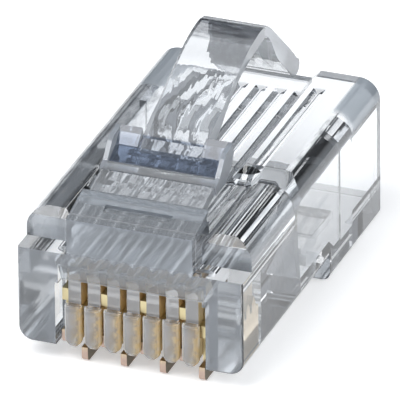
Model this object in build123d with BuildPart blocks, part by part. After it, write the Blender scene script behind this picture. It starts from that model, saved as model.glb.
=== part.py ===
from build123d import *
import os
from math import cos, radians, sin, sqrt, tan

# Eight-position modular plug, not yet crimped. Millimetres.
# X runs across the contacts, Y from the front face to the cable end, Z up to the latch side.
# The sizes below count from the front face (Y = 0) and the underside of the front part (Z = 0).
# Each finished piece is then moved so that the origin is the centre of the plug's base.

# Body
plug_width = 11.68
plug_length = 19.7
body_height = 6.69            # side rails above the front underside
rear_length = 7.44            # length of the deeper cable end
rear_drop = 0.87              # how far it reaches below the front underside
rail_round = 1.1              # outer top edges of both rails
front_under_round = 0.75      # outer lower edges of the front part
rear_under_round = 0.4        # outer lower edges of the cable end
rim_round = 0.12              # rims of the front and rear faces

# Nose and the notches beside it
nose_width = 6.54
nose_rise_front = 0.34        # top of the nose's front edge, above the rails
nose_slope = 13.5             # degrees, rise of the nose towards the latch
notch_depth = 1.31            # rails start this far behind the front face
shelf_drop = 1.6              # top of the front corners, below the rails
rail_front_round = 0.4
gate_width = 3.5              # shallow recess in the top of the nose
gate_length = 0.5
gate_depth = 0.18
gate_start = 1.0

# Channel in the roof, wide under the latch shoulders and narrow under its tab
channel_depth = 0.52          # floor of the channel below the rails
wide_half = 3.38              # half width of the wide pocket at its floor
narrow_half = 2.2
wide_end = 8.3                # where the wide pocket ends

# Contacts and the slots they slide in
positions = 8
pitch = 1.016
blade_thickness = 0.32
blade_clearance = 0.018       # each side of a blade
blade_front = 0.38            # front of the toe at the lower end of a blade
blade_length = 3.2
blade_margin = 0.04           # piercing tips of a high blade below the wire row
tip_height = 0.75             # piercing tips above the blade's shoulder
tine_start = 1.15             # front of the first piercing tine
tine_margin = 0.1
tine_width = 0.5
tine_point = 0.4              # height of a tine's pointed end
tine_root = 0.1
blade_corner = 0.3            # lower corners of a blade
toe_height = 0.77             # the toe that reaches forward under the waist
waist_depth = 0.62            # the blade's front edge is set back this much above the toe
barb_reach = 0.5              # barb at the shoulder, forward of the waist
barb_height = 0.65
barb_slope = 0.3
blade_stagger = 0.83          # contacts 2, 4, 6 and 8 stand this much lower before crimping
high_blade = -0.03            # lower edge of contacts 1, 3, 5 and 7 before crimping
tip_gap = 0.3                 # between a blade's rear edge and the end of its slot

# Ribs between the contacts
rib_edge_round = 0.28         # long lower edges of a rib
rib_rise = 0.4                # how much the underside of a rib rises towards the rear
finger_overlap = 0.12         # a tongue on the lower front of a rib is this much wider on each side
finger_depth = 0.33
finger_height = 2.25
finger_round = 0.27           # upright front edges of a tongue
finger_top_slope = 0.12       # the tongue's top falls this much towards the front
window_depth = 0.45           # the rest of a rib stands this far back
window_rise = 1.05            # the front band's underside falls this much to the windows
brow_drop = 0.59              # lower edge of the solid front band, below the shelves
outer_relief = 0.17           # extra room outside the two end contacts, at the front
outer_relief_depth = 1.0

# Wire channels above the contacts
wire_bore = 1.1
wire_drop = 0.6               # roof of the wire row below the roof of the cavity
wire_start = 1.0

# Cable cavity
cavity_length = 11.2          # from the end of the wire row to the cable end
cavity_half = 4.55
roof_thickness = 0.72         # between the channel's floor and the cavity
ceiling_ramp = 1.3            # length of the ceiling's ramp from the wire row
front_floor = 0.9             # floor of the cavity in the front part
rear_floor = 0.3              # floor of the cavity in the cable end
floor_ramp = 0.7              # length of the slope between the two floors
throat_length = 0.4           # length of the steep slope down from the wire row
mouth_half = 4.95             # the cavity is wider towards the cable end
mouth_length = 5.3
mouth_round = 0.8
round_length = 3.6            # the mouth's corners are rounded over this length at the cable end

# Guide ribs on the cavity ceiling
guide_root = 0.62
guide_depth = 0.36
guide_taper = 37              # degrees, slope of the rib flanks
guide_margin = 1.2            # the ribs end this far before the cable end

# Latch, outlines as (Y, Z) points, Z counted from the top of the rails
root_y = 2.3                  # centre of the root that bends
root_rise = 0.51
root_radius = 0.27
joint_clearance = 0.025
latch_front = 2.36            # front edge of the arm, just behind the nose
arm_half = 2.93
ear_half = 3.04
ear_rim = 0.24
arm_front_top = 0.86
arm_top = [(3.2, 1.1), (4.51, 1.34)]
arm_root = [(5.2, 1.61), (5.2, 0.93)]
arm_under = [(4.84, 0.91), (3.17, 0.64), (2.5, 0.47)]
ear_outline = [
    (3.9, 1.29), (4.4, 1.48), (4.78, 1.86), (5.1, 2.21), (5.4, 2.41), (6.05, 2.47), (6.28, 2.55),
    (6.43, 2.01), (6.2, 1.51), (6.04, 1.27), (5.67, 1.01), (5.22, 0.81), (4.84, 0.81), (3.9, 0.81),
]
pane = [(4.4, 1.32), (5.54, 1.86), (5.82, 2.15), (6.28, 2.55)]
tab_half = 1.65
tab_start = 5.5
# the tab's outlines have the share of the way from its start to the bend in place of Y
tab_top = [
    (0.0, 1.84), (0.0757, 2.06), (0.1946, 2.61), (0.3135, 2.96), (0.4432, 3.46), (0.5838, 3.96),
    (0.7027, 4.39), (0.8324, 4.64), (0.9243, 4.71), (0.9784, 4.64),
]
tab_under = [
    (0.9784, 4.05), (0.8497, 3.98), (0.7351, 3.83), (0.6162, 3.61), (0.5081, 3.23), (0.4184, 2.81),
    (0.3103, 2.14), (0.227, 1.61), (0.1297, 1.29), (0.0432, 1.13),
]
hook_margin = 4.95            # centre of the bend between tab and guard leg, ahead of the cable end
hook_rise = 4.33
hook_radius = 0.28

# Guard leg, outlines as (Y, Z) points, Y counted from the bend and Z from the rails
leg_outer = [(0.12, 4.58), (0.6, 4.24), (1.65, 3.29), (2.7, 2.35), (3.6, 1.51), (4.33, 0.76)]
leg_inner = [(2.85, 0.81), (2.05, 1.61), (1.35, 2.36), (0.8, 3.24), (0.01, 4.05)]
foot_corner = (4.67, 0.29)
foot_toe = (4.31, -0.09)
foot_heel = (3.63, 0.01)

# Hinged bars in the floor: the front one holds the wires, the rear one the cable jacket
bar_clearance = 0.05
bar_hinge_radius = 0.22
bar_spacing = 2.4             # between the two windows
window_margin = 0.02          # the window cutters reach this far above the cavity floor
conductor_length = 2.2
conductor_half = 3.5
conductor_depth = 0.8
jacket_margin = 2.5           # between its window and the cable end
jacket_length = 3.0
jacket_half = 3.2
jacket_depth = 1.05
bar_rear_slope = 0.3          # the bar's lower rear edge stays this far forward

# Derived places
crest_y, crest_z = pane[-1]
rear_start = plug_length - rear_length
wire_end = plug_length - cavity_length
throat_start = wire_end + throat_length
ramp_end = wire_end + ceiling_ramp
mouth_start = plug_length - mouth_length
jacket_start = plug_length - jacket_margin - jacket_length
conductor_start = jacket_start - bar_spacing - conductor_length
bars = [
    (conductor_start, conductor_length, conductor_half, front_floor),
    (jacket_start, jacket_length, jacket_half, rear_floor),
]
half_width = plug_width / 2
slot_width = blade_thickness + 2 * blade_clearance
rib_width = pitch - slot_width
finger_width = rib_width + 2 * finger_overlap
row_half = (positions - 1) * pitch / 2
slot_end = blade_front + blade_length + tip_gap
inner_half = row_half + slot_width / 2
channel_floor = body_height - channel_depth
shelf_height = body_height - shelf_drop
nose_front_height = body_height + nose_rise_front
cavity_ceiling = channel_floor - roof_thickness
wire_ceiling = cavity_ceiling - wire_drop
wire_height = wire_ceiling - wire_bore / 2
wire_floor = wire_height - wire_bore / 2
brow_height = shelf_height - brow_drop
window_top = brow_height - window_rise
guide_end = plug_length - guide_margin
low_blade = high_blade - blade_stagger
blade_height = wire_floor - blade_margin - high_blade
blade_rear = blade_front + blade_length
nose_rise = tan(radians(nose_slope))
root_z = body_height + root_rise
hook_y = plug_length - hook_margin
tab_reach = hook_y - tab_start
cut_margin = 1.0              # cutters reach this far past open faces

# Sketch planes of the latch and of its guard leg: Z from the rails, Y from the front or from the bend
latch_plane = Plane(origin=(0, 0, body_height), x_dir=(0, 1, 0), z_dir=(1, 0, 0))
leg_plane = Plane(origin=(0, hook_y, body_height), x_dir=(0, 1, 0), z_dir=(1, 0, 0))

os.makedirs("parts", exist_ok=True)


def save(piece, name):
    """Move a finished piece to the plug's own frame, label it and write it."""
    placed = piece.moved(Location((0, -plug_length / 2, rear_drop)))
    placed.label = name
    export_step(placed, f"parts/{name}.step")


def along_tab(points):
    """Outline points of the tab with the share of its length turned into Y."""
    return [(tab_start + share * tab_reach, rise) for share, rise in points]


def long_edges(part, x, z):
    """Edges that run along Y at a given X (either side) and Z."""
    found = []
    for edge in part.edges().filter_by(Axis.Y):
        middle = edge.center()
        if abs(abs(middle.X) - x) < 0.01 and abs(middle.Z - z) < 0.01:
            found.append(edge)
    return found


# One rib between two contacts: a plate with a round-ended tongue at the lower front
rib_rear = slot_end + cut_margin / 2
with BuildPart() as rib:
    with BuildSketch(Plane.YZ):
        with BuildLine():
            Polyline(
                (finger_depth / 2, 0),
                (rib_rear, rib_rise),
                (rib_rear, wire_height),
                (window_depth, wire_height),
                (window_depth, finger_height),
                (finger_depth / 2, finger_height),
                close=True,
            )
        make_face()
    extrude(amount=rib_width / 2, both=True)
    under = rib.faces().sort_by(Axis.Z)[0]
    sole = [e for e in under.edges() if e.bounding_box().size.Y > 1]
    fillet(sole, radius=rib_edge_round)

with BuildPart() as tongue:
    with BuildSketch(Plane.XZ):
        with BuildLine():
            Polyline(
                (-finger_width / 2, finger_width / 2),
                (-finger_width / 2, finger_height),
                (finger_width / 2, finger_height),
                (finger_width / 2, finger_width / 2),
            )
            ThreePointArc(
                (finger_width / 2, finger_width / 2),
                (0, 0),
                (-finger_width / 2, finger_width / 2),
            )
        make_face()
    extrude(amount=-finger_depth)
    front_rim = [
        edge for edge in tongue.faces().sort_by(Axis.Y)[0].edges()
        if edge.center().Z < finger_height - finger_top_slope
    ]
    fillet(front_rim, radius=finger_round)
    with BuildSketch(Plane.YZ):
        with BuildLine():
            Polyline(
                (-cut_margin, finger_height - finger_top_slope),
                (0, finger_height - finger_top_slope),
                (finger_depth, finger_height),
                (finger_depth, finger_height + cut_margin),
                (-cut_margin, finger_height + cut_margin),
                close=True,
            )
        make_face()
    extrude(amount=finger_width, both=True, mode=Mode.SUBTRACT)

with BuildPart() as housing:
    # Outer block with the deeper cable end
    with BuildSketch(Plane.YZ):
        with BuildLine():
            Polyline(
                (0, 0),
                (rear_start, 0),
                (rear_start, -rear_drop),
                (plug_length, -rear_drop),
                (plug_length, body_height),
                (0, body_height),
                close=True,
            )
        make_face()
    extrude(amount=half_width, both=True)
    fillet(long_edges(housing, half_width, body_height), radius=rail_round)
    fillet(long_edges(housing, half_width, 0), radius=front_under_round)
    fillet(long_edges(housing, half_width, -rear_drop), radius=rear_under_round)
    fillet(housing.faces().sort_by(Axis.Y)[0].edges(), radius=rim_round)
    fillet(housing.faces().sort_by(Axis.Y)[-1].edges(), radius=rim_round)

    # Notches beside the nose, and the rails' rounded front edge
    with BuildSketch(Plane.YZ):
        with BuildLine():
            Polyline(
                (-cut_margin, shelf_height),
                (notch_depth, shelf_height),
                (notch_depth, body_height - rail_front_round),
                (notch_depth + rail_front_round, body_height),
                (notch_depth + rail_front_round, body_height + cut_margin),
                (-cut_margin, body_height + cut_margin),
                close=True,
            )
        make_face()
    extrude(amount=half_width + cut_margin, both=True, mode=Mode.SUBTRACT)

    # Roof channel: a wide pocket under the shoulders and a narrow one under the tab
    with BuildSketch(Plane.XZ):
        with BuildLine():
            Polyline(
                (-narrow_half, channel_floor),
                (narrow_half, channel_floor),
                (narrow_half + channel_depth + cut_margin, body_height + cut_margin),
                (-narrow_half - channel_depth - cut_margin, body_height + cut_margin),
                close=True,
            )
        make_face()
    extrude(amount=-plug_length - cut_margin, mode=Mode.SUBTRACT)
    with BuildSketch(Plane.XY.offset(channel_floor)):
        with Locations((0, (wide_end - cut_margin) / 2)):
            RectangleRounded(2 * wide_half, wide_end + cut_margin, channel_depth)
    extrude(amount=channel_depth + cut_margin, taper=-45, mode=Mode.SUBTRACT)

    # Nose, from the front face back to the root of the latch
    with BuildSketch(Plane.YZ):
        with BuildLine():
            Polyline(
                (0, shelf_height),
                (root_y, shelf_height),
                (root_y, nose_front_height + root_y * nose_rise),
                (0, nose_front_height),
                close=True,
            )
        make_face()
    extrude(amount=nose_width / 2, both=True)
    nose_plane = Plane(
        origin=(0, 0, nose_front_height),
        x_dir=(1, 0, 0),
        z_dir=(0, -sin(radians(nose_slope)), cos(radians(nose_slope))),
    )
    with BuildSketch(nose_plane):
        with Locations((0, gate_start + gate_length / 2)):
            Rectangle(gate_width, gate_length)
    extrude(amount=-gate_depth, mode=Mode.SUBTRACT)

    # Round socket that holds the root of the latch
    with BuildSketch(Plane.YZ):
        with Locations((root_y, root_z)):
            Circle(root_radius + joint_clearance)
    extrude(amount=nose_width, both=True, mode=Mode.SUBTRACT)

    # Contact pocket, filled again by the ribs
    with BuildSketch(Plane.YZ):
        with BuildLine():
            Polyline(
                (-cut_margin, -cut_margin),
                (slot_end, -cut_margin),
                (slot_end, wire_height),
                (window_depth, wire_height),
                (window_depth, window_top),
                (0, brow_height),
                (-cut_margin, brow_height),
                close=True,
            )
        make_face()
    extrude(amount=inner_half, both=True, mode=Mode.SUBTRACT)
    with BuildSketch(Plane.XY.offset(-cut_margin)):
        with Locations((0, (outer_relief_depth - cut_margin) / 2)):
            Rectangle(2 * (inner_half + outer_relief), outer_relief_depth + cut_margin)
    extrude(amount=window_top + cut_margin, mode=Mode.SUBTRACT)
    with GridLocations(pitch, 1, positions - 1, 1):
        add(rib.part)
        add(tongue.part)

    # Row of wire channels that run into one another
    with BuildSketch(Plane.XZ.offset(-wire_start)):
        with Locations((0, wire_height)):
            with GridLocations(pitch, 1, positions, 1):
                Circle(wire_bore / 2)
    extrude(amount=-(wire_end - wire_start), mode=Mode.SUBTRACT)

    # Cable cavity
    with BuildSketch(Plane.YZ):
        with BuildLine():
            Polyline(
                (wire_end, wire_ceiling),
                (ramp_end, cavity_ceiling),
                (plug_length + cut_margin, cavity_ceiling),
                (plug_length + cut_margin, rear_floor),
                (rear_start + 2 * floor_ramp, rear_floor),
                (rear_start + floor_ramp, front_floor),
                (throat_start, front_floor),
                (wire_end, wire_floor),
                close=True,
            )
        make_face()
    extrude(amount=cavity_half, both=True, mode=Mode.SUBTRACT)
    mouth_height = cavity_ceiling - rear_floor
    with BuildSketch(Plane.XZ.offset(-mouth_start)):
        with Locations((0, rear_floor + mouth_height / 2)):
            Rectangle(2 * mouth_half, mouth_height)
    extrude(amount=-(mouth_length - round_length), mode=Mode.SUBTRACT)
    with BuildSketch(Plane.XZ.offset(-mouth_start)):
        with Locations((0, rear_floor + mouth_height / 2)):
            RectangleRounded(2 * mouth_half, mouth_height, mouth_round)
    extrude(amount=-(mouth_length + cut_margin), mode=Mode.SUBTRACT)

    # Guide ribs along the ceiling, first on its level part and then on its ramp
    level_length = guide_end - ramp_end
    with BuildSketch(Plane.XY.offset(cavity_ceiling)):
        with Locations((0, ramp_end + level_length / 2)):
            with GridLocations(pitch, 1, positions - 1, 1):
                Rectangle(guide_root, level_length)
    extrude(amount=-guide_depth, taper=guide_taper)
    ramp_run = ramp_end - wire_end
    ramp_climb = cavity_ceiling - wire_ceiling
    ramp_length = sqrt(ramp_run ** 2 + ramp_climb ** 2)
    ramp_plane = Plane(
        origin=(0, wire_end, wire_ceiling),
        x_dir=(1, 0, 0),
        z_dir=(0, -ramp_climb, ramp_run),
    )
    with BuildSketch(ramp_plane):
        with Locations((0, ramp_length / 2)):
            with GridLocations(pitch, 1, positions - 1, 1):
                Rectangle(guide_root, ramp_length)
    extrude(amount=-guide_depth, taper=guide_taper)

    # Windows in the floor for the two bars, with their round hinge seats
    for start, length, half, floor in bars:
        with BuildSketch(Plane.XY.offset(-rear_drop - cut_margin)):
            with Locations((0, start + length / 2)):
                Rectangle(2 * half, length)
        extrude(amount=rear_drop + cut_margin + floor + window_margin, mode=Mode.SUBTRACT)
        with BuildSketch(Plane.YZ):
            with Locations((start, floor - bar_hinge_radius)):
                Circle(bar_hinge_radius + joint_clearance)
        extrude(amount=half, both=True, mode=Mode.SUBTRACT)

save(housing.part, "housing")


# Latch: thin arm, two shoulders with a polished pane between their rims, thumb tab
with BuildPart() as latch:
    with BuildSketch(latch_plane):
        with BuildLine():
            Polyline(
                (root_y, root_rise - root_radius),
                (latch_front, root_rise),
                (latch_front, arm_front_top),
                *arm_top,
                *arm_root,
                *arm_under,
                (root_y, root_rise - root_radius),
            )
        make_face()
    extrude(amount=arm_half, both=True)
    with BuildSketch(latch_plane):
        with Locations((root_y, root_rise)):
            Circle(root_radius)
    extrude(amount=arm_half, both=True)

    # Shoulders
    with BuildSketch(latch_plane):
        with BuildLine():
            Polyline(*ear_outline, close=True)
        make_face()
    extrude(amount=ear_half, both=True)
    with BuildSketch(latch_plane):
        with BuildLine():
            Polyline(
                *pane,
                (crest_y, crest_z + cut_margin),
                (pane[0][0], crest_z + cut_margin),
                close=True,
            )
        make_face()
    extrude(amount=ear_half - ear_rim, both=True, mode=Mode.SUBTRACT)

    # Gap between the shoulders where the tab starts
    top_points = along_tab(tab_top)
    under_points = along_tab(tab_under)
    with BuildSketch(latch_plane):
        with BuildLine():
            Polyline(
                top_points[0],
                top_points[1],
                (crest_y + 2 * cut_margin, top_points[1][1] + cut_margin / 2),
                (crest_y + cut_margin, crest_z + cut_margin),
                (tab_start, crest_z + cut_margin),
                close=True,
            )
        make_face()
    extrude(amount=tab_half, both=True, mode=Mode.SUBTRACT)

    # Tab up to the bend, with the hollow that holds the guard leg's knuckle
    with BuildSketch(latch_plane):
        with BuildLine():
            Spline(*top_points)
            Line(top_points[-1], under_points[0])
            Spline(*under_points)
            Line(under_points[-1], top_points[0])
        make_face()
    extrude(amount=tab_half, both=True)
    with BuildSketch(latch_plane):
        with Locations((hook_y, hook_rise)):
            Circle(hook_radius + joint_clearance)
    extrude(amount=ear_half, both=True, mode=Mode.SUBTRACT)

save(latch.part, "latch")


# Guard leg that turns down from the tab over the cable end
with BuildPart() as latch_guard:
    with BuildSketch(leg_plane):
        with BuildLine():
            Spline(*leg_outer)
            ThreePointArc(leg_outer[-1], foot_corner, foot_toe)
            Line(foot_toe, foot_heel)
            Line(foot_heel, leg_inner[0])
            Spline(*leg_inner)
            Line(leg_inner[-1], leg_outer[0])
        make_face()
        with Locations((0, hook_rise)):
            Circle(hook_radius)
    extrude(amount=tab_half, both=True)

save(latch_guard.part, "latch_guard")


# Hinged bars
for name, (start, length, half, floor), depth in (
    ("conductor_bar", bars[0], conductor_depth),
    ("strain_relief_bar", bars[1], jacket_depth),
):
    hinge_z = floor - bar_hinge_radius
    front = start + bar_clearance
    rear = start + length - bar_clearance
    with BuildPart() as bar:
        with BuildSketch(Plane.YZ):
            with BuildLine():
                Polyline(
                    (start + bar_hinge_radius, floor),
                    (rear, floor),
                    (rear - bar_rear_slope, floor - depth),
                    (front + bar_hinge_radius, floor - depth),
                    (front, hinge_z),
                    close=True,
                )
            make_face()
            with Locations((start, hinge_z)):
                Circle(bar_hinge_radius)
        extrude(amount=half - bar_clearance, both=True)
    save(bar.part, name)


# Contact blades: a stamped plate with three piercing tines, every second one stands lower
shoulder = blade_height - tip_height
waist_front = blade_front + waist_depth
barb_front = waist_front - barb_reach
tine_pitch = (blade_rear - tine_margin - tine_start) / 3
with BuildPart() as blade:
    with BuildSketch(Plane.YZ):
        with BuildLine():
            Polyline(
                (blade_front + blade_corner, 0),
                (blade_rear - blade_corner, 0),
                (blade_rear, blade_corner),
                (blade_rear, shoulder),
                (barb_front, shoulder),
                (barb_front, shoulder - barb_height),
                (waist_front, shoulder - barb_height - barb_slope),
                (waist_front, toe_height),
                (blade_front, toe_height),
                (blade_front, blade_corner),
            )
            RadiusArc((blade_front, blade_corner), (blade_front + blade_corner, 0), -blade_corner)
        make_face()
        with BuildLine():
            Polyline(
                (tine_start, shoulder - tine_root),
                (tine_start, shoulder + tip_height - tine_point),
                (tine_start + tine_width / 2, shoulder + tip_height),
                (tine_start + tine_width, shoulder + tip_height - tine_point),
                (tine_start + tine_width, shoulder - tine_root),
                close=True,
            )
        make_face()
        with BuildLine():
            Polyline(
                (tine_start + tine_pitch, shoulder - tine_root),
                (tine_start + tine_pitch, shoulder + tip_height - tine_point),
                (tine_start + tine_pitch + tine_width / 2, shoulder + tip_height),
                (tine_start + tine_pitch + tine_width, shoulder + tip_height - tine_point),
                (tine_start + tine_pitch + tine_width, shoulder - tine_root),
                close=True,
            )
        make_face()
        with BuildLine():
            Polyline(
                (tine_start + 2 * tine_pitch, shoulder - tine_root),
                (tine_start + 2 * tine_pitch, shoulder + tip_height - tine_point),
                (tine_start + 2 * tine_pitch + tine_width / 2, shoulder + tip_height),
                (tine_start + 2 * tine_pitch + tine_width, shoulder + tip_height - tine_point),
                (tine_start + 2 * tine_pitch + tine_width, shoulder - tine_root),
                close=True,
            )
        make_face()
    extrude(amount=blade_thickness / 2, both=True)

for number in range(1, positions + 1):
    across = (number - (positions + 1) / 2) * pitch
    lower_edge = low_blade if number % 2 == 0 else high_blade
    with BuildPart() as contact:
        with Locations((across, 0, lower_edge)):
            add(blade.part)
    save(contact.part, f"contact_{number}")
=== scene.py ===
import bpy
import numpy as np
from math import cos, radians, sin
from mathutils import Matrix, Vector

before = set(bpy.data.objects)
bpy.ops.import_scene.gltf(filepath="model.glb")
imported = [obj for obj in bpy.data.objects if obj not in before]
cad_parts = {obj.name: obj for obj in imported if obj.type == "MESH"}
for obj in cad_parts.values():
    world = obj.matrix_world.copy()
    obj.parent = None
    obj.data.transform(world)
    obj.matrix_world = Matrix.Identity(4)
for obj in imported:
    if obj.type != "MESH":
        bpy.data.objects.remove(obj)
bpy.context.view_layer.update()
print("plug loaded")

mm = 0.001
# sizes of the source count from the front face and the underside of the front part
plugFront = 9.85
plugDrop = 0.87
pitch = 1.016          # from one contact to the next


def placed(x, y, z):
    # a point of the source's own sizes in mm, moved to the plug's frame in metres
    return Vector((x, y - plugFront, z + plugDrop)) * mm


# shader nodes that the finishes below share

def addNode(tree, kind, **settings):
    node = tree.nodes.new(kind)
    for key, value in settings.items():
        setattr(node, key, value)
    return node


def newMaterial(name):
    # an empty node material with its output and one Principled shader
    material = bpy.data.materials.new(name)
    material.use_nodes = True
    tree = material.node_tree
    tree.nodes.clear()
    output = addNode(tree, "ShaderNodeOutputMaterial")
    shader = addNode(tree, "ShaderNodeBsdfPrincipled")
    tree.links.new(shader.outputs["BSDF"], output.inputs["Surface"])
    return material, tree, shader


def placeAndFacing(tree):
    # the object's own position and its normal, split into X, Y and Z
    coords = addNode(tree, "ShaderNodeTexCoord")
    place = addNode(tree, "ShaderNodeSeparateXYZ")
    tree.links.new(coords.outputs["Object"], place.inputs["Vector"])
    facing = addNode(tree, "ShaderNodeSeparateXYZ")
    tree.links.new(coords.outputs["Normal"], facing.inputs["Vector"])
    return place, facing


def ramp(tree, source, low, high, fromValue=0.0, toValue=1.0):
    # straight ramp of a value, held at both ends
    node = addNode(tree, "ShaderNodeMapRange")
    tree.links.new(source, node.inputs["Value"])
    for key, value in (("From Min", low), ("From Max", high), ("To Min", fromValue), ("To Max", toValue)):
        node.inputs[key].default_value = value
    return node.outputs["Result"]


def combine(tree, operation, *values):
    # one Math node after another over numbers and sockets: a, a with b, the result with c and so on
    result = values[0]
    for value in values[1:]:
        node = addNode(tree, "ShaderNodeMath", operation=operation)
        for socket, term in zip(node.inputs, (result, value)):
            if isinstance(term, (int, float)):
                socket.default_value = term
            else:
                tree.links.new(term, socket)
        result = node.outputs["Value"]
    return result


def mixColour(tree, factor, first, second):
    # first where the factor is 0, second where it is 1; first and second are colours or sockets
    node = addNode(tree, "ShaderNodeMix", data_type="RGBA")
    tree.links.new(factor, node.inputs["Factor"])
    for key, colour in (("A", first), ("B", second)):
        if isinstance(colour, tuple):
            node.inputs[key].default_value = colour
        else:
            tree.links.new(colour, node.inputs[key])
    return node.outputs["Result"]


def noisePattern(tree, cells, detail=2.0):
    # noise on the object's own coordinates, with that many cells for each metre along X, Y and Z
    coords = addNode(tree, "ShaderNodeTexCoord")
    stretch = addNode(tree, "ShaderNodeMapping")
    stretch.inputs["Scale"].default_value = cells
    tree.links.new(coords.outputs["Object"], stretch.inputs["Vector"])
    noise = addNode(tree, "ShaderNodeTexNoise")
    noise.inputs["Scale"].default_value = 1.0
    noise.inputs["Detail"].default_value = detail
    tree.links.new(stretch.outputs["Vector"], noise.inputs["Vector"])
    return noise.outputs["Fac"]


def uneven(tree, pattern):
    # noise as a share: from least to most between the two levels of the noise
    noise = noisePattern(tree, pattern["cells"], pattern["detail"])
    return ramp(tree, noise, *pattern["levels"], *pattern["shares"])


normalAxes = {"side": "X", "rearward": "Y", "up": "Z"}


def softEdge(tree, place, facing, direction, low, high, fromValue=0.0, toValue=1.0):
    # a value that changes between low and high: mm of the source along X, Y, Z or aside from the
    # middle, or how far a face looks to either side, rearward or up
    if direction in normalAxes:
        source = facing.outputs[normalAxes[direction]]
    elif direction == "aside":
        source = place.outputs["X"]
        low, high = low * mm, high * mm
    else:
        source = place.outputs[direction]
        axis = "XYZ".index(direction)
        low, high = placed(low, low, low)[axis], placed(high, high, high)[axis]
    if direction in ("side", "aside"):
        source = combine(tree, "ABSOLUTE", source, 0.0)
    return ramp(tree, source, low, high, fromValue, toValue)


def region(tree, place, facing, look):
    # a strength inside the region's soft edges and 0 outside: the product of a ramp for each edge
    firstEdge, *otherEdges = look["edges"]
    share = softEdge(tree, place, facing, *firstEdge, 0.0, look["strength"])
    for edge in otherEdges:
        share = combine(tree, "MULTIPLY", share, softEdge(tree, place, facing, *edge))
    return share


# clear polycarbonate of the housing, the latch and the bars
clearPlastic = {
    "tint": (0.95, 0.965, 0.98, 1.0),
    "haze": (0.35, 0.41, 0.48, 1.0),     # scattered colour of the matt faces
    "hazeShare": 0.5,
    "frost": (0.38, 0.42, 0.46, 1.0),
    "milkAndSheen": (0.88, 0.9, 0.93, 1.0),     # milky haze of rounded faces; also a painted pale sheen on the tongues and a painted pale strip on the roof
    "glint": (1.0, 0.74, 0.36, 1.0),     # painted gold of a blade that shines through a tongue and through the ribs' flanks
    # painted dark bluish shade of the latch's pane
    "paneShade": (0.22, 0.27, 0.37, 1.0),
    # painted dark reflections of the shoulders, the tab's bend and the bars
    "darkReflection": (0.13, 0.14, 0.16, 1.0),
    "ior": 1.585,
    "polishedRoughness": 0.01,
    "mattedRoughness": 0.22,
    "waveCells": (1300.0, 330.0, 500.0),
    "waveHeight": 0.04 * mm,
    "grainFrom": (0.3, 0.5),             # matt shares between which the grain comes in
    "grain": 0.12,                       # added to the waves on matt faces
}


def clearMaterial(name, matted, waves, tints):
    # clear polycarbonate: polished, with spark-eroded faces where the function matted says so.
    # Each tint is a function for its place, a colour, and the clear share where it is full.
    material, tree, shader = newMaterial(name)
    place, facing = placeAndFacing(tree)
    mask = matted(tree, place, facing)
    roughness = ramp(tree, mask, 0.0, 1.0, clearPlastic["polishedRoughness"], clearPlastic["mattedRoughness"])
    tree.links.new(roughness, shader.inputs["Roughness"])
    colour = mixColour(tree, mask, clearPlastic["tint"], clearPlastic["haze"])
    clearShare = ramp(tree, mask, 0.0, 1.0, 1.0, 1.0 - clearPlastic["hazeShare"])
    for where, tint, leastClear in tints:
        amount = where(tree, place, facing)
        colour = mixColour(tree, amount, colour, clearPlastic[tint])
        if leastClear < 1:
            clearShare = combine(tree, "MINIMUM", clearShare, ramp(tree, amount, 0.0, 1.0, 1.0, leastClear))
    tree.links.new(colour, shader.inputs["Base Color"])
    tree.links.new(clearShare, shader.inputs["Transmission Weight"])
    shader.inputs["IOR"].default_value = clearPlastic["ior"]
    # faint flow waves of the moulding, longer along the plug than across it
    bump = addNode(tree, "ShaderNodeBump")
    strength = ramp(tree, mask, *clearPlastic["grainFrom"], waves, waves + clearPlastic["grain"])
    tree.links.new(strength, bump.inputs["Strength"])
    bump.inputs["Distance"].default_value = clearPlastic["waveHeight"]
    tree.links.new(noisePattern(tree, clearPlastic["waveCells"]), bump.inputs["Height"])
    tree.links.new(bump.outputs["Normal"], shader.inputs["Normal"])
    return material


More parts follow.
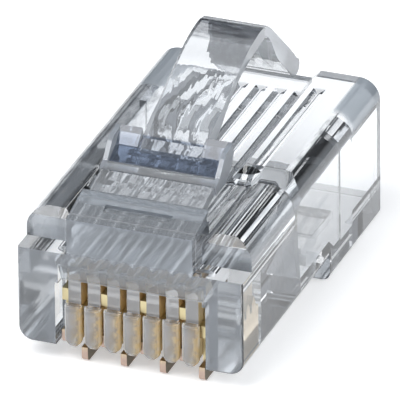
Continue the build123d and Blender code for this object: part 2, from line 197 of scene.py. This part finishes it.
# Regions of the housing. Each edge names a direction, where the region begins and where it is full,
# in mm of the source, or as how far a face looks to the side, rearward or up.
housing = {
    "waves": 0.05,
    # matt faces
    "front": {"strength": 0.5, "edges": [("rearward", -0.88, -0.9)]},
    "besideSlots": ("aside", 3.6, 3.9),
    "aboveSlots": ("Z", 3.0, 4.2),
    "slotRowShare": 0.1,                 # of the front's matt look, left on the tongues and ribs
    "nose": {"strength": 1.0, "edges": [("Z", 4.9, 5.3), ("aside", 3.4, 3.2)]},
    "noseTimes": 1.4,
    "rearFace": {"strength": 1.0, "edges": [("rearward", 0.88, 0.9)]},
    "wireRowEnd": ("Y", 9.2, 9.0),
    "rearShares": (0.15, 0.85),          # outer rear face, and the end of the wire row inside
    "bandWidens": ("Y", 15.6, 16.2),
    "bandStarts": (5.45, 4.75),          # mm aside, ahead of that and behind it
    "bandSwitch": ("X", -1.0, 1.0),
    "bandLimits": (4.1, 9.0),            # mm aside at the most, on the left rail and on the right
    "bandFade": 0.18,
    "bandShare": 0.5,
    "bandAbove": ("Z", 5.5, 5.7),
    "crown": {"strength": 0.55, "edges": [("Y", 2.4, 2.2), ("Z", 6.8, 6.9)]},
    # frosted parts of the rails, with painted dark reflections and a painted pale strip
    "frostedEnd": {"strength": 1.0, "edges": [("aside", 4.7, 4.85), ("Y", 15.4, 16.0), ("Z", 5.6, 5.75)]},
    "frostedLeft": {"strength": 0.9, "edges": [("X", -3.5, -3.8), ("Y", 15.2, 15.5), ("Z", 5.6, 5.75)]},
    "darkLeft": {"strength": 1.0, "edges": [("X", -4.7, -5.0), ("Y", 1.6, 2.2)]},
    "darkByTab": {"strength": 0.75, "edges": [("X", -3.7, -4.0), ("Y", 8.6, 9.2)]},
    "darkRight": {"strength": 0.85, "edges": [("Y", 8.6, 9.2), ("X", 4.75, 4.85), ("X", 5.5, 5.4)]},
    "darkAll": {"strength": 1.0, "edges": [("Y", 15.4, 15.2), ("Z", 5.3, 5.6)]},
    "darkMottle": {
        "cells": (2600.0, 900.0, 900.0), "detail": 5.0, "levels": (0.4, 0.6), "shares": (0.2, 0.95)},
    "rearRim": {"strength": 0.7, "edges": [("Y", 19.0, 19.1), ("up", 0.85, 0.95), ("Z", 5.9, 6.0)]},
    # side walls, with painted grey streaks of refraction
    "sideWall": {"strength": 1.0, "edges": [("side", 0.85, 0.95), ("aside", 5.6, 5.7)]},
    "sideStreaks": {
        "strength": 1.0,
        "edges": [("Y", 2.8, 3.4), ("Y", 13.0, 11.0), ("Z", 1.3, 1.9), ("Z", 4.9, 4.3)]},
    "sideUneven": {
        "cells": (900.0, 450.0, 1500.0), "detail": 3.0, "levels": (0.4, 0.6), "shares": (0.1, 0.75)},
    "sideFilm": 0.1,
    "lowerCorner": {
        "strength": 0.55,
        "edges": [("Z", 1.2, 0.6), ("side", 0.3, 0.5), ("aside", 5.3, 5.4), ("Y", 16.9, 17.1)]},
    # row of slots, with painted gold from the blades and a painted sheen and highlight on the tongues
    "ribFront": {"strength": 0.45, "edges": [("Y", 0.5, 0.48), ("Y", 0.38, 0.41), ("aside", 3.75, 3.6)]},
    "ribFlank": {
        "strength": 0.9,
        "edges": [("Y", 3.8, 3.6), ("side", 0.25, 0.75), ("aside", 3.7, 3.6), ("Z", 4.2, 3.9)]},
    "tongues": {"strength": 1.0, "edges": [("aside", 3.75, 3.6), ("Z", 2.3, 2.2), ("Y", 0.37, 0.33)]},
    # painted highlight along a tongue's left edge, then the shares of the painted sheen
    "highlightEdge": ((-0.46, -0.4), (-0.3, -0.36)),   # mm across a tongue from its middle
    "sheenShares": (0.45, 1.0),
    "goldSide": (-0.15, 0.3),                     # mm across a tongue from its middle
    "goldPatches": {
        "cells": (3500.0, 3500.0, 3500.0), "detail": 2.0, "levels": (0.35, 0.6), "shares": (0.5, 0.95)},
}


def housingMatted(tree, place, facing):
    # the front is half matt, but the tongues and the ribs between the slots stay nearly clear
    least = housing["slotRowShare"]
    front = region(tree, place, facing, housing["front"])
    outside = softEdge(tree, place, facing, *housing["besideSlots"], least)
    raised = softEdge(tree, place, facing, *housing["aboveSlots"], least)
    front = combine(tree, "MULTIPLY", front, combine(tree, "MAXIMUM", outside, raised))
    # the nose's own front is the most matt
    noseOnly = region(tree, place, facing, housing["nose"])
    front = combine(tree, "MULTIPLY", front, ramp(tree, noseOnly, 0.0, 1.0, 1.0, housing["noseTimes"]))
    # the outer rear face is nearly clear, the end of the wire row inside is matt
    inner = softEdge(tree, place, facing, *housing["wireRowEnd"], *housing["rearShares"])
    rear = combine(tree, "MULTIPLY", region(tree, place, facing, housing["rearFace"]), inner)
    # the matt band on the shoulders is wider at the rear corners and on the left rail
    starts = [start * mm for start in housing["bandStarts"]]
    limits = [limit * mm for limit in housing["bandLimits"]]
    start = combine(
        tree, "MINIMUM",
        softEdge(tree, place, facing, *housing["bandWidens"], *starts),
        softEdge(tree, place, facing, *housing["bandSwitch"], *limits))
    aside = combine(tree, "ABSOLUTE", place.outputs["X"], 0.0)
    beyond = combine(tree, "SUBTRACT", aside, start)
    band = ramp(tree, beyond, 0.0, housing["bandFade"] * mm, 0.0, housing["bandShare"])
    band = combine(tree, "MULTIPLY", band, softEdge(tree, place, facing, *housing["bandAbove"]))
    # the top of the nose is slightly hazy
    crown = region(tree, place, facing, housing["crown"])
    return combine(tree, "MAXIMUM", front, rear, band, crown)


def shoulderFrost(tree, place, facing):
    # the frosted rear ends of both shoulders, the left one out to the tab
    ends = [region(tree, place, facing, housing[name]) for name in ("frostedEnd", "frostedLeft")]
    return combine(tree, "MAXIMUM", *ends)


def shoulderDark(tree, place, facing):
    # painted dark mottled reflections on both shoulders, ahead of their frosted ends
    parts = [region(tree, place, facing, housing[name]) for name in ("darkLeft", "darkByTab", "darkRight")]
    shape = region(tree, place, facing, housing["darkAll"])
    return combine(
        tree, "MULTIPLY", combine(tree, "MAXIMUM", *parts), shape, uneven(tree, housing["darkMottle"]))


def rearRim(tree, place, facing):
    # painted pale strip of light on the roof over the rear wall
    return region(tree, place, facing, housing["rearRim"])


def sideFilm(tree, place, facing):
    # thin film on the side walls, with painted soft grey streaks of refraction over the wire row and the bars
    wall = region(tree, place, facing, housing["sideWall"])
    streaks = region(tree, place, facing, housing["sideStreaks"])
    streaks = combine(tree, "MULTIPLY", streaks, uneven(tree, housing["sideUneven"]))
    return combine(tree, "MULTIPLY", wall, combine(tree, "MAXIMUM", streaks, housing["sideFilm"]))


def cornerPearl(tree, place, facing):
    # frosted lower rear corner of the side walls
    return region(tree, place, facing, housing["lowerCorner"])


def ribFront(tree, place, facing):
    # a faint film on the ribs' front faces, above the tongues
    return region(tree, place, facing, housing["ribFront"])


def ribFlank(tree, place, facing):
    # the flanks of the ribs and of their tongues, warm with painted gold of the blades beside them
    return region(tree, place, facing, housing["ribFlank"])


def acrossTongue(tree, place):
    # sideways place in a tongue, in metres from its middle: x - pitch * round(x / pitch)
    node = addNode(tree, "ShaderNodeMath", operation="WRAP")
    tree.links.new(place.outputs["X"], node.inputs[0])
    node.inputs[1].default_value = pitch / 2 * mm
    node.inputs[2].default_value = -pitch / 2 * mm
    return node.outputs["Value"]


def tongueSheen(tree, place, facing):
    # painted milky sheen all over, with a painted highlight along the left edge
    across = acrossTongue(tree, place)
    sides = [ramp(tree, across, start * mm, full * mm) for start, full in housing["highlightEdge"]]
    paler = combine(tree, "MULTIPLY", *sides)
    share = ramp(tree, paler, 0.0, 1.0, *housing["sheenShares"])
    return combine(tree, "MULTIPLY", region(tree, place, facing, housing["tongues"]), share)


def tongueGold(tree, place, facing):
    # painted gold of the blade behind its right half, in uneven patches
    start, full = housing["goldSide"]
    gold = ramp(tree, acrossTongue(tree, place), start * mm, full * mm)
    patches = uneven(tree, housing["goldPatches"])
    return combine(tree, "MULTIPLY", region(tree, place, facing, housing["tongues"]), gold, patches)


housingTints = [
    (ribFlank, "glint", 0.2),
    (tongueSheen, "milkAndSheen", 0.35),
    (tongueGold, "glint", 0.4),
    (cornerPearl, "milkAndSheen", 0.4),
    (shoulderDark, "darkReflection", 0.9),
    (rearRim, "milkAndSheen", 0.45),
    (sideFilm, "frost", 0.85),
    (shoulderFrost, "frost", 0.25),
    (ribFront, "milkAndSheen", 0.3),
]

# regions of the latch and of its guard leg, written as the housing's
latch = {
    "waves": 0.8,
    "sides": {"strength": 0.5, "edges": [("side", 0.88, 0.9)]},
    "rims": {"strength": 0.7, "edges": [("aside", 2.74, 2.8), ("Y", 4.2, 4.5)]},
    # painted dark bluish shade on the pane
    "pane": {
        "strength": 1.0,
        "edges": [("rearward", -0.25, -0.35), ("aside", 2.8, 2.75), ("Y", 4.35, 4.45), ("Y", 6.4, 6.3)]},
    "film": ("side", 0.8, 0.95),
    "filmShares": (0.15, 0.4),           # everywhere, and on the side faces
    # painted dark reflections in the tab's bend
    "bend": {"strength": 1.0, "edges": [("Y", 13.0, 13.2), ("Y", 14.5, 14.3), ("up", 0.3, 0.6)]},
    "bendStreaks": {
        "cells": (600.0, 2400.0, 2400.0), "detail": 2.0, "levels": (0.35, 0.55), "shares": (0.45, 1.0)},
}


def latchMatted(tree, place, facing):
    # side faces and the rims of the shoulders are matt
    parts = [region(tree, place, facing, latch[name]) for name in ("sides", "rims")]
    return combine(tree, "MAXIMUM", *parts)


def latchFilm(tree, place, facing):
    # a thin film of haze, thicker on the side faces
    return softEdge(tree, place, facing, *latch["film"], *latch["filmShares"])


def paintedPaneShade(tree, place, facing):
    # painted dark bluish shade on the slanted pane between the shoulders, where the thick root of the tab
    # lies behind it
    return region(tree, place, facing, latch["pane"])


def bendDark(tree, place, facing):
    # the tight bend at the top of the tab gets painted dark reflections in a streaky band
    band = region(tree, place, facing, latch["bend"])
    return combine(tree, "MULTIPLY", band, uneven(tree, latch["bendStreaks"]))


latchTints = [
    (latchFilm, "milkAndSheen", 0.0),
    (paintedPaneShade, "paneShade", 1.0),
    (bendDark, "darkReflection", 1.0),
]

bars = {
    "waves": 0.1,
    "underside": {"strength": 0.5, "edges": [("up", -0.88, -0.9)]},
    # painted grey streaks of refraction
    "streaks": {
        "cells": (900.0, 350.0, 2200.0), "detail": 2.0, "levels": (0.42, 0.58), "shares": (0.1, 0.55)},
}


def barMatted(tree, place, facing):
    return region(tree, place, facing, bars["underside"])


def barStreaks(tree, place, facing):
    # painted grey streaks of refraction along the bars, which show through the side walls
    return uneven(tree, bars["streaks"])


# gold-plated bronze blades
contactFinish = {
    "gold": (0.66, 0.57, 0.34, 1.0),
    "bronze": (0.5, 0.38, 0.32, 1.0),
    "goldSide": (0.84, 0.66, 0.4, 1.0),
    "darkSide": (0.15, 0.12, 0.08, 1.0),
    "lowerEdges": {"high": -0.03, "low": -0.86},   # Z of the toes of contacts 1, 3, 5, 7 and of the others
    "goldAbove": (0.5, 1.1),                       # mm above the toe between which the bronze turns gold
    "coveredAbove": (0.0, 0.1),                    # Z between which the bare sides turn gold
    "sideFaces": (0.7, 0.9),
    "roughness": (0.28, 0.46),
    "grainCells": (4000.0, 4000.0, 4000.0),
    "grainLevels": (0.2, 0.8),
}


def contactMaterial(name, lowerEdge):
    # gold, with a bronze front on the toe and dark sides where a blade stands out of the slots
    material, tree, shader = newMaterial(name)
    place, facing = placeAndFacing(tree)
    covered = softEdge(tree, place, facing, "Z", *contactFinish["coveredAbove"])
    flank = mixColour(tree, covered, contactFinish["darkSide"], contactFinish["goldSide"])
    goldStart, goldFull = (lowerEdge + above for above in contactFinish["goldAbove"])
    plated = softEdge(tree, place, facing, "Z", goldStart, goldFull)
    edge = mixColour(tree, plated, contactFinish["bronze"], contactFinish["gold"])
    onSide = softEdge(tree, place, facing, "side", *contactFinish["sideFaces"])
    tree.links.new(mixColour(tree, onSide, edge, flank), shader.inputs["Base Color"])
    shader.inputs["Metallic"].default_value = 1.0
    grain = noisePattern(tree, contactFinish["grainCells"])
    roughness = ramp(tree, grain, *contactFinish["grainLevels"], *contactFinish["roughness"])
    tree.links.new(roughness, shader.inputs["Roughness"])
    return material


def give(nodeName, material):
    # every slot of the node gets the material
    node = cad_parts[nodeName]
    if not node.material_slots:
        node.data.materials.append(material)
    for slot in node.material_slots:
        slot.material = material


give("housing", clearMaterial("housingClear", housingMatted, housing["waves"], housingTints))
print("housing clear")
latchClear = clearMaterial("latchClear", latchMatted, latch["waves"], latchTints)
for name in ("latch", "latch_guard"):
    give(name, latchClear)
barClear = clearMaterial("barClear", barMatted, bars["waves"], [(barStreaks, "darkReflection", 0.9)])
for name in ("conductor_bar", "strain_relief_bar"):
    give(name, barClear)
print("latch and bars clear")
highBlade = contactMaterial("bladeHigh", contactFinish["lowerEdges"]["high"])
lowBlade = contactMaterial("bladeLow", contactFinish["lowerEdges"]["low"])
for number in range(1, 9):
    give(f"contact_{number}", lowBlade if number % 2 == 0 else highBlade)
print("contacts gold")


# floor, sky, lamps and camera
studio = {
    "floorSize": 3.0,
    "floorDrop": 0.02 * mm,              # below the plug
    "floorGrey": 0.9,
    "floorRoughness": 0.8,
    "floorLift": 0.45,                   # light of its own where it is seen directly or in metal
    "throughShare": 0.5,                 # of that, where it is seen through the plastic
    "skyTop": (0.46, 0.49, 0.53, 1.0),
    "skyMiddle": (0.16, 0.175, 0.2, 1.0),
    "skyLow": (0.03, 0.034, 0.04, 1.0),
    "skyHeights": (0.12, 0.5, 0.9),      # of the low, middle and top colour: sine of the height
    "backdrop": (1.0, 1.0, 1.0, 1.0),
    "lampSize": 0.3,
    "keyPlace": (-0.12, -0.25, 0.4),
    "keyPower": 1.6,
    "fillPlace": (0.35, 0.1, 0.25),
    "fillPower": 0.7,
}


def buildFloor():
    # a square sheet just under the plug: corners at plus and minus half its size
    half = studio["floorSize"] / 2
    corners = np.array([[-half, -half, 0], [half, -half, 0], [half, half, 0], [-half, half, 0]])
    corners[:, 2] = -studio["floorDrop"]
    mesh = bpy.data.meshes.new("studioFloor")
    mesh.from_pydata(corners.tolist(), [], [[0, 1, 2, 3]])
    floor = bpy.data.objects.new("studioFloor", mesh)
    bpy.context.scene.collection.objects.link(floor)
    material, tree, shader = newMaterial("floorWhite")
    shader.inputs["Base Color"].default_value = (studio["floorGrey"],) * 3 + (1.0,)
    shader.inputs["Roughness"].default_value = studio["floorRoughness"]
    shader.inputs["Specular IOR Level"].default_value = 0.0
    # seen directly, in metal and through plastic the floor is lifted to white, and keeps its shadow
    path = addNode(tree, "ShaderNodeLightPath")
    through = combine(tree, "MULTIPLY", path.outputs["Is Transmission Ray"], studio["throughShare"])
    seen = combine(tree, "MAXIMUM", path.outputs["Is Camera Ray"], through, path.outputs["Is Glossy Ray"])
    shader.inputs["Emission Color"].default_value = studio["backdrop"]
    tree.links.new(combine(tree, "MULTIPLY", seen, studio["floorLift"]), shader.inputs["Emission Strength"])
    # from below the floor is clear, so that the underside can be looked at
    clearBelow = addNode(tree, "ShaderNodeMixShader")
    tree.links.new(addNode(tree, "ShaderNodeNewGeometry").outputs["Backfacing"], clearBelow.inputs["Fac"])
    tree.links.new(shader.outputs["BSDF"], clearBelow.inputs[1])
    tree.links.new(addNode(tree, "ShaderNodeBsdfTransparent").outputs["BSDF"], clearBelow.inputs[2])
    output = next(node for node in tree.nodes if node.type == "OUTPUT_MATERIAL")
    tree.links.new(clearBelow.outputs["Shader"], output.inputs["Surface"])
    mesh.materials.append(material)


def buildWorld():
    # grey above and dark round the horizon, so that the clear plastic shows its edges
    world = bpy.data.worlds.new("studioWorld")
    bpy.context.scene.world = world
    world.use_nodes = True
    tree = world.node_tree
    tree.nodes.clear()
    output = addNode(tree, "ShaderNodeOutputWorld")
    background = addNode(tree, "ShaderNodeBackground")
    tree.links.new(background.outputs["Background"], output.inputs["Surface"])
    coords = addNode(tree, "ShaderNodeTexCoord")
    direction = addNode(tree, "ShaderNodeSeparateXYZ")
    tree.links.new(coords.outputs["Generated"], direction.inputs["Vector"])
    sky = addNode(tree, "ShaderNodeValToRGB")
    low, middle, top = studio["skyHeights"]
    sky.color_ramp.elements[0].position = low
    sky.color_ramp.elements[0].color = studio["skyLow"]
    sky.color_ramp.elements[1].position = top
    sky.color_ramp.elements[1].color = studio["skyTop"]
    sky.color_ramp.elements.new(middle).color = studio["skyMiddle"]
    tree.links.new(direction.outputs["Z"], sky.inputs["Fac"])
    # the camera itself sees a white backdrop
    path = addNode(tree, "ShaderNodeLightPath")
    backdrop = mixColour(tree, path.outputs["Is Camera Ray"], sky.outputs["Color"], studio["backdrop"])
    tree.links.new(backdrop, background.inputs["Color"])


def softLight(name, place, power):
    # square lamp that looks at the origin from its place
    lamp = bpy.data.lights.new(name, "AREA")
    lamp.size = studio["lampSize"]
    lamp.energy = power
    light = bpy.data.objects.new(name, lamp)
    light.location = place
    light.rotation_euler = Vector(place).to_track_quat("Z", "Y").to_euler()
    # the lamp itself isn't seen through the clear plastic
    light.visible_transmission = False
    bpy.context.scene.collection.objects.link(light)


photoCamera = {
    "azimuth": 20.8542,
    "elevation": 27.7762,
    "roll": -0.5501,
    "distance": 600.0,           # mm from the point that the frame is centred on
    "focalPixels": 12204.94,
    "pixels": 400,
    "aim": (0.0, 10.0, 3.5),     # mm of the source
    "shift": (-0.1094, 0.1863),  # mm, the frame's centre from the aim
    "sensor": 36.0,
    "clip": (0.01, 10.0),
}


def buildCamera():
    azimuth, elevation = radians(photoCamera["azimuth"]), radians(photoCamera["elevation"])
    back = Vector((sin(azimuth) * cos(elevation), -cos(azimuth) * cos(elevation), sin(elevation)))
    right = Vector((cos(azimuth), sin(azimuth), 0.0))
    up = back.cross(right)
    turn = radians(photoCamera["roll"])
    rolledRight = cos(turn) * right + sin(turn) * up
    rolledUp = -sin(turn) * right + cos(turn) * up
    shiftX, shiftY = photoCamera["shift"]
    aim = placed(*photoCamera["aim"]) + (shiftX * right + shiftY * up) * mm
    data = bpy.data.cameras.new("photoCamera")
    data.sensor_width = photoCamera["sensor"]
    data.lens = photoCamera["focalPixels"] * photoCamera["sensor"] / photoCamera["pixels"]
    data.clip_start, data.clip_end = photoCamera["clip"]
    camera = bpy.data.objects.new("photoCamera", data)
    camera.matrix_world = Matrix.Translation(aim + back * photoCamera["distance"] * mm) @ Matrix(
        (rolledRight, rolledUp, back)).transposed().to_4x4()
    bpy.context.scene.collection.objects.link(camera)
    bpy.context.scene.camera = camera


buildFloor()
buildWorld()
softLight("keyLight", studio["keyPlace"], studio["keyPower"])
softLight("fillLight", studio["fillPlace"], studio["fillPower"])
buildCamera()
bpy.context.scene.view_settings.view_transform = "Standard"
print("studio and camera set")
